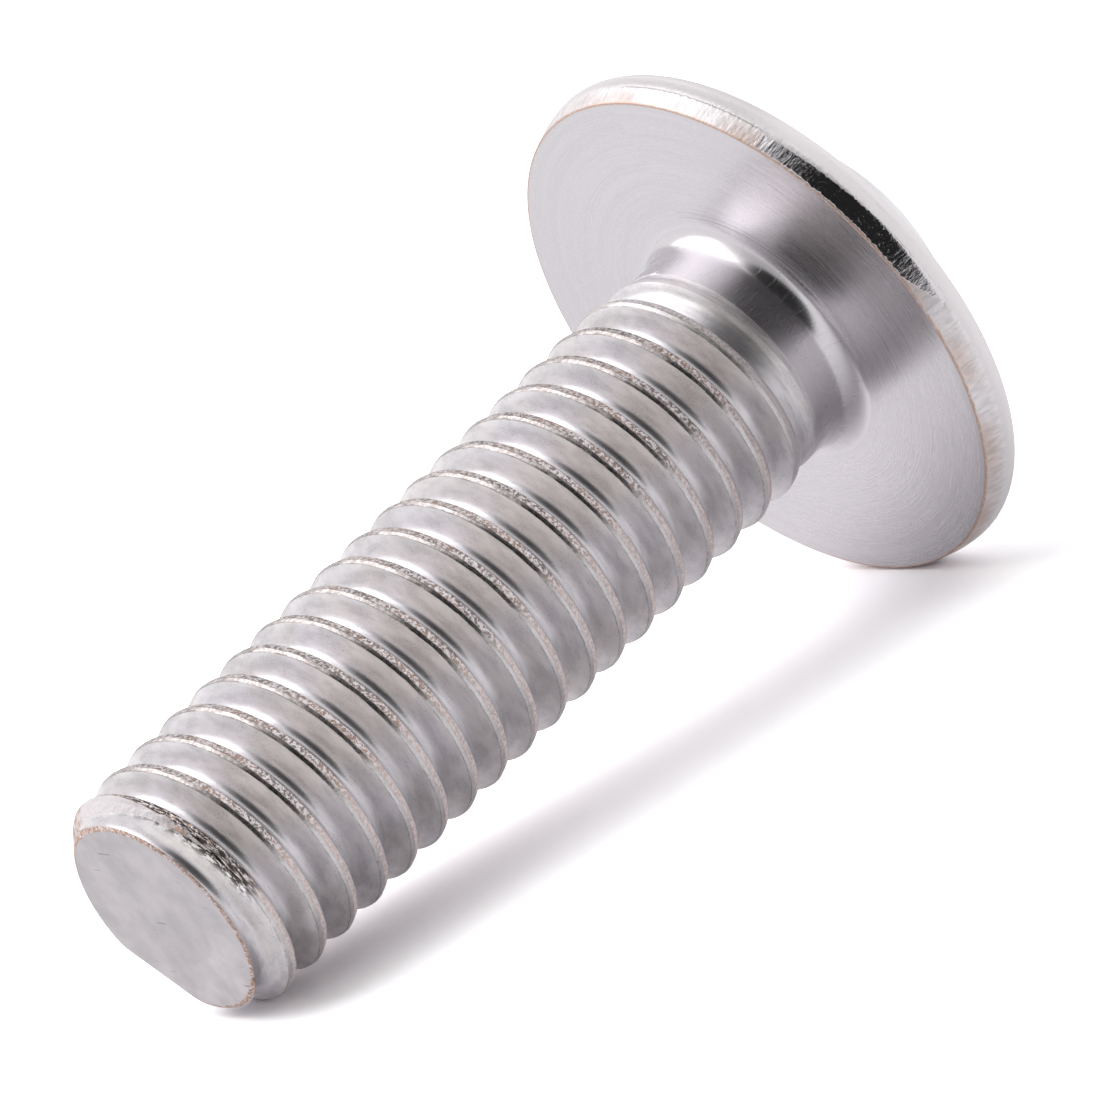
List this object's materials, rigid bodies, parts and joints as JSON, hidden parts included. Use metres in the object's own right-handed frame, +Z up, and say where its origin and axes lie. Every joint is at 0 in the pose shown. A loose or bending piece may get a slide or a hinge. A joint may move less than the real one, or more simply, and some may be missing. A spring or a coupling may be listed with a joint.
{
  "type": "flanged button head screw",
  "caption": "Flanged button head machine screw in bare steel, with a low domed head, a wide thin flange, a hexagon socket and a fully threaded rolled shank, lying on its side.",
  "frame": {"origin": "centre of the bearing face under the flange, on the screw's axis", "axes": "+Z up from the floor the screw lies on; +X along the floor from the head to the tip, so the screw's axis is in the XZ plane and dips towards the tip"},
  "size_m": [0.0237, 0.0132, 0.0129],
  "materials": {
    "steel": "bare rolled and turned stainless steel, fine turned rings under the flange, satin thread flanks"
  },
  "bodies": {
    "root": {"screw": "steel"}
  },
  "joints": []
}
